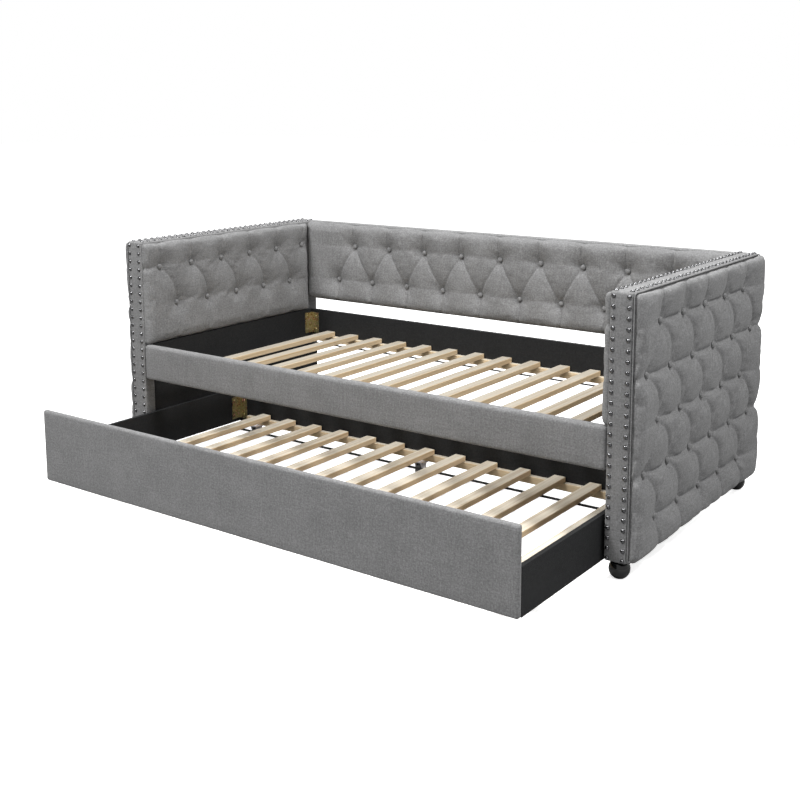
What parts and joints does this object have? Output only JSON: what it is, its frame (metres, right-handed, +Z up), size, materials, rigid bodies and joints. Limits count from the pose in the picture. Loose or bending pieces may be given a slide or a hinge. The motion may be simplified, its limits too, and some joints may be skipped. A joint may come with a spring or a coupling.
{
  "type": "trundle bed",
  "caption": "Upholstered three-sided daybed with tufted arms and back, slatted deck, and a low slatted trundle that rolls out from under the front rail.",
  "frame": {"origin": "centre of the footprint of the whole bed with the trundle half out, on the floor", "axes": "+X along the bed to the right seen from the front, +Y towards the back panel, +Z up"},
  "size_m": [2.1386, 1.513, 0.853],
  "materials": {
    "grey_linen": "heathered linen-look weave, matte",
    "black_cloth": "tight black cloth over board",
    "pine": "bare planed softwood",
    "black_webbing": "woven tape",
    "yellow_zinc": "yellow chromate plate, satin",
    "galvanised_steel": "bright zinc plate",
    "wheel_plastic": "moulded",
    "gloss_black": "black lacquer",
    "nickel": "polished nailheads"
  },
  "bodies": {
    "daybed": {"back_frame": "grey_linen", "back_pad": "grey_linen", "bed_front_ledger": "pine", "bed_front_webbing": "black_webbing", "bed_rear_ledger": "pine", "bed_rear_left_bracket": "yellow_zinc", "bed_rear_right_bracket": "yellow_zinc", "bed_rear_webbing": "black_webbing", "bed_slat_01": "pine", "bed_slat_02": "pine", "bed_slat_03": "pine", "bed_slat_04": "pine", "bed_slat_05": "pine", "bed_slat_06": "pine", "bed_slat_07": "pine", "bed_slat_08": "pine", "bed_slat_09": "pine", "bed_slat_10": "pine", "bed_slat_11": "pine", "bed_slat_12": "pine", "bed_slat_13": "pine", "bed_slat_14": "pine", "front_left_foot": "gloss_black", "front_rail": "grey_linen", "front_right_foot": "gloss_black", "left_arm_frame": "grey_linen", "left_arm_inner_pad": "grey_linen", "left_arm_lining": "black_cloth", "left_arm_outer_pad": "grey_linen", "left_side_board": "black_cloth", "rear_left_foot": "gloss_black", "rear_rail": "black_cloth", "rear_right_foot": "gloss_black", "right_arm_frame": "grey_linen", "right_arm_inner_pad": "grey_linen", "right_arm_lining": "black_cloth", "right_arm_outer_pad": "grey_linen", "right_side_board": "black_cloth"},
    "trundle": {"front_left_caster_housing": "galvanised_steel", "front_middle_caster_housing": "galvanised_steel", "front_right_caster_housing": "galvanised_steel", "rear_left_caster_housing": "galvanised_steel", "rear_middle_caster_housing": "galvanised_steel", "rear_right_caster_housing": "galvanised_steel", "trundle_caster_batten": "pine", "trundle_front_ledger": "pine", "trundle_front_panel": "grey_linen", "trundle_left_side": "black_cloth", "trundle_rear_ledger": "pine", "trundle_rear_left_bracket": "yellow_zinc", "trundle_rear_panel": "black_cloth", "trundle_rear_right_bracket": "yellow_zinc", "trundle_right_side": "black_cloth", "trundle_slat_roll": "pine"},
    "front_left_wheel": {"front_left_wheel": "wheel_plastic"},
    "front_middle_wheel": {"front_middle_wheel": "wheel_plastic"},
    "front_right_wheel": {"front_right_wheel": "wheel_plastic"},
    "rear_left_wheel": {"rear_left_wheel": "wheel_plastic"},
    "rear_middle_wheel": {"rear_middle_wheel": "wheel_plastic"},
    "rear_right_wheel": {"rear_right_wheel": "wheel_plastic"}
  },
  "joints": [
    {"name": "trundle_slide", "type": "slide", "parent": "daybed", "child": "trundle", "axis": [0, -1, 0], "range_m": [-0.481, 0.52]},
    {"name": "front_left_wheel_roll", "type": "hinge", "parent": "trundle", "child": "front_left_wheel", "pos_m": [-0.83, -0.5745, 0.0225], "axis": [1, 0, 0], "range_deg": [-1300, 1400]},
    {"name": "front_middle_wheel_roll", "type": "hinge", "parent": "trundle", "child": "front_middle_wheel", "pos_m": [0, -0.5745, 0.0225], "axis": [1, 0, 0], "range_deg": [-1300, 1400]},
    {"name": "front_right_wheel_roll", "type": "hinge", "parent": "trundle", "child": "front_right_wheel", "pos_m": [0.83, -0.5745, 0.0225], "axis": [1, 0, 0], "range_deg": [-1300, 1400]},
    {"name": "rear_left_wheel_roll", "type": "hinge", "parent": "trundle", "child": "rear_left_wheel", "pos_m": [-0.83, 0.1885, 0.0225], "axis": [1, 0, 0], "range_deg": [-1300, 1400]},
    {"name": "rear_middle_wheel_roll", "type": "hinge", "parent": "trundle", "child": "rear_middle_wheel", "pos_m": [0, 0.1885, 0.0225], "axis": [1, 0, 0], "range_deg": [-1300, 1400]},
    {"name": "rear_right_wheel_roll", "type": "hinge", "parent": "trundle", "child": "rear_right_wheel", "pos_m": [0.83, 0.1885, 0.0225], "axis": [1, 0, 0], "range_deg": [-1300, 1400]}
  ],
  "couplings": [
    {"joint": "front_left_wheel_roll", "follows": "trundle_slide", "rad_per_m": 44.444},
    {"joint": "front_middle_wheel_roll", "follows": "trundle_slide", "rad_per_m": 44.444},
    {"joint": "front_right_wheel_roll", "follows": "trundle_slide", "rad_per_m": 44.444},
    {"joint": "rear_left_wheel_roll", "follows": "trundle_slide", "rad_per_m": 44.444},
    {"joint": "rear_middle_wheel_roll", "follows": "trundle_slide", "rad_per_m": 44.444},
    {"joint": "rear_right_wheel_roll", "follows": "trundle_slide", "rad_per_m": 44.444}
  ]
}
